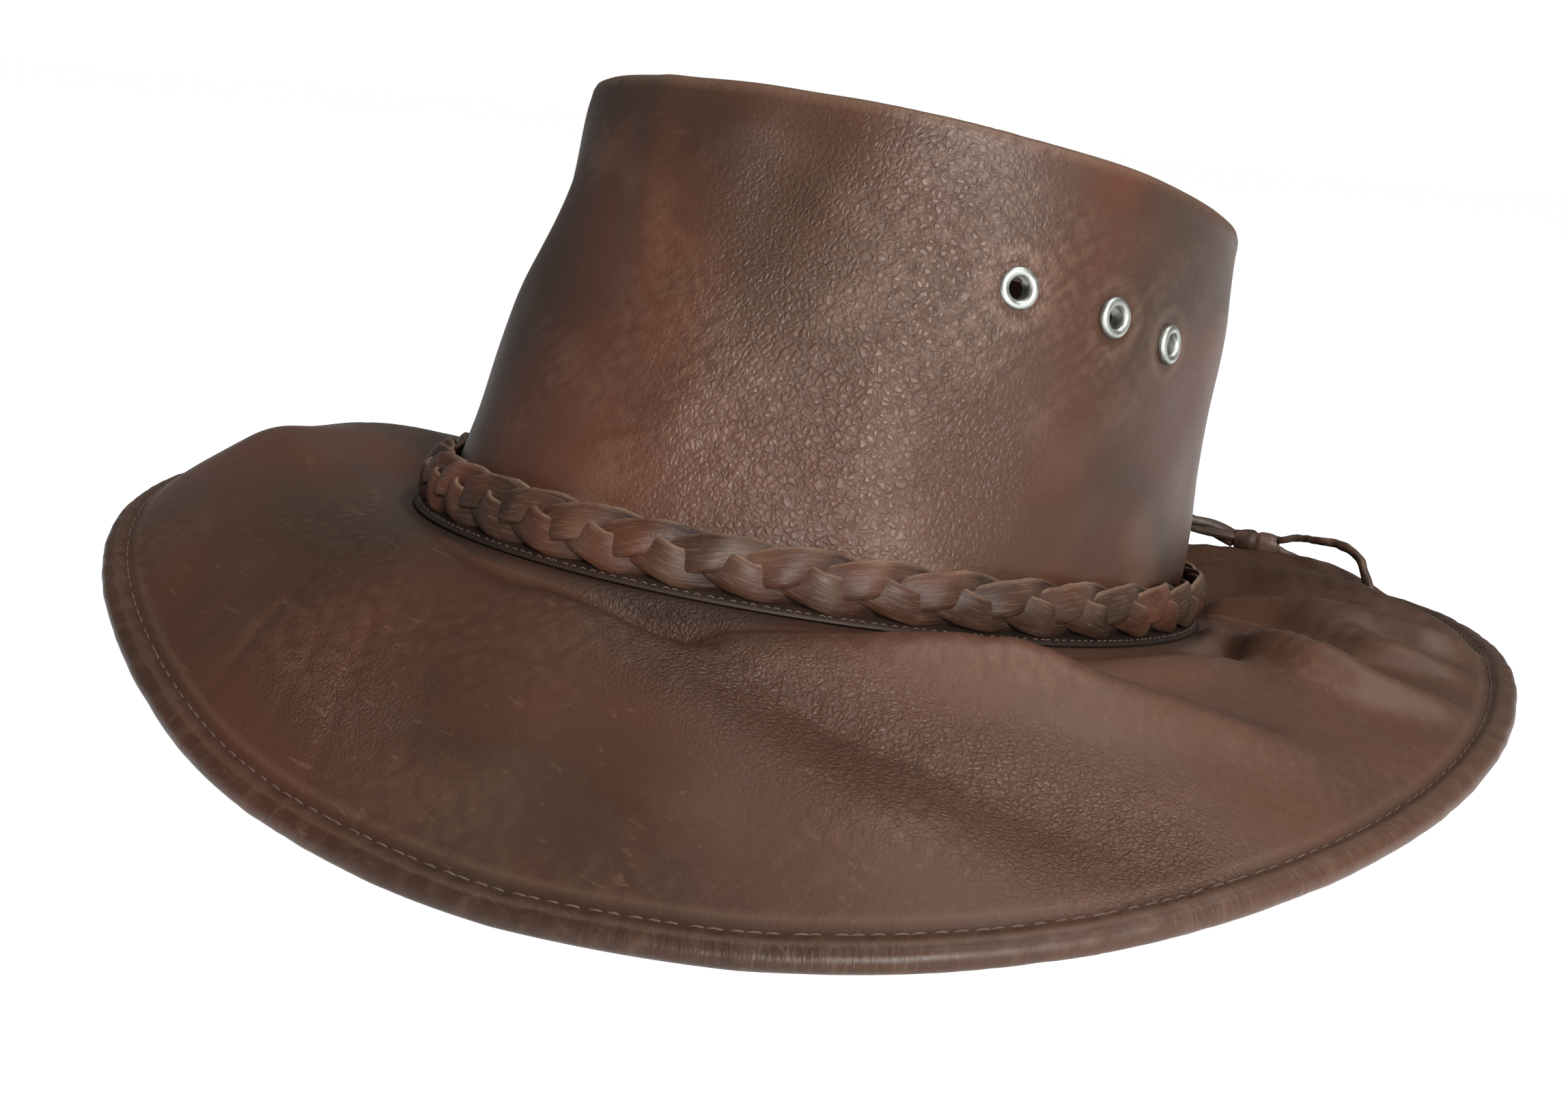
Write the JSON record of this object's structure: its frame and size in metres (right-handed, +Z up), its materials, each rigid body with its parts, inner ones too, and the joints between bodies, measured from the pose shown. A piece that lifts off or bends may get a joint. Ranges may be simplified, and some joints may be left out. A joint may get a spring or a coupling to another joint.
{
  "type": "bush hat",
  "caption": "Leather bush hat at rest, hollow pinched crown with vent eyelets, a braided band tied at the back and a wide drooping brim with folds and a rolled, stitched hem.",
  "frame": {"origin": "middle of the hat's bounding box, on the surface it rests on", "axes": "+Z up, -Y the hat's front, +X the wearer's left; the crown leans back 8 degrees as in the picture"},
  "size_m": [0.3368, 0.3518, 0.1498],
  "materials": {
    "crown_leather": "oiled, mottled brown, pebbled grain with soft sheen",
    "brim_leather": "oiled, mottled brown, creased grain with soft sheen",
    "braid_leather": "oiled brown strands with raw edges",
    "thong_leather": "dark raw-edged thong",
    "eyelet_metal": "dull plated, pale silver"
  },
  "bodies": {
    "root": {"brim": "brim_leather", "crown": "crown_leather", "braid": "braid_leather", "eyelet_left_front": "eyelet_metal", "eyelet_left_middle": "eyelet_metal", "eyelet_left_rear": "eyelet_metal", "eyelet_right_front": "eyelet_metal", "eyelet_right_middle": "eyelet_metal", "eyelet_right_rear": "eyelet_metal", "tie_bundle": "thong_leather", "tie_knot": "thong_leather", "tie_thong_long": "thong_leather", "tie_thong_short": "thong_leather"}
  },
  "joints": []
}
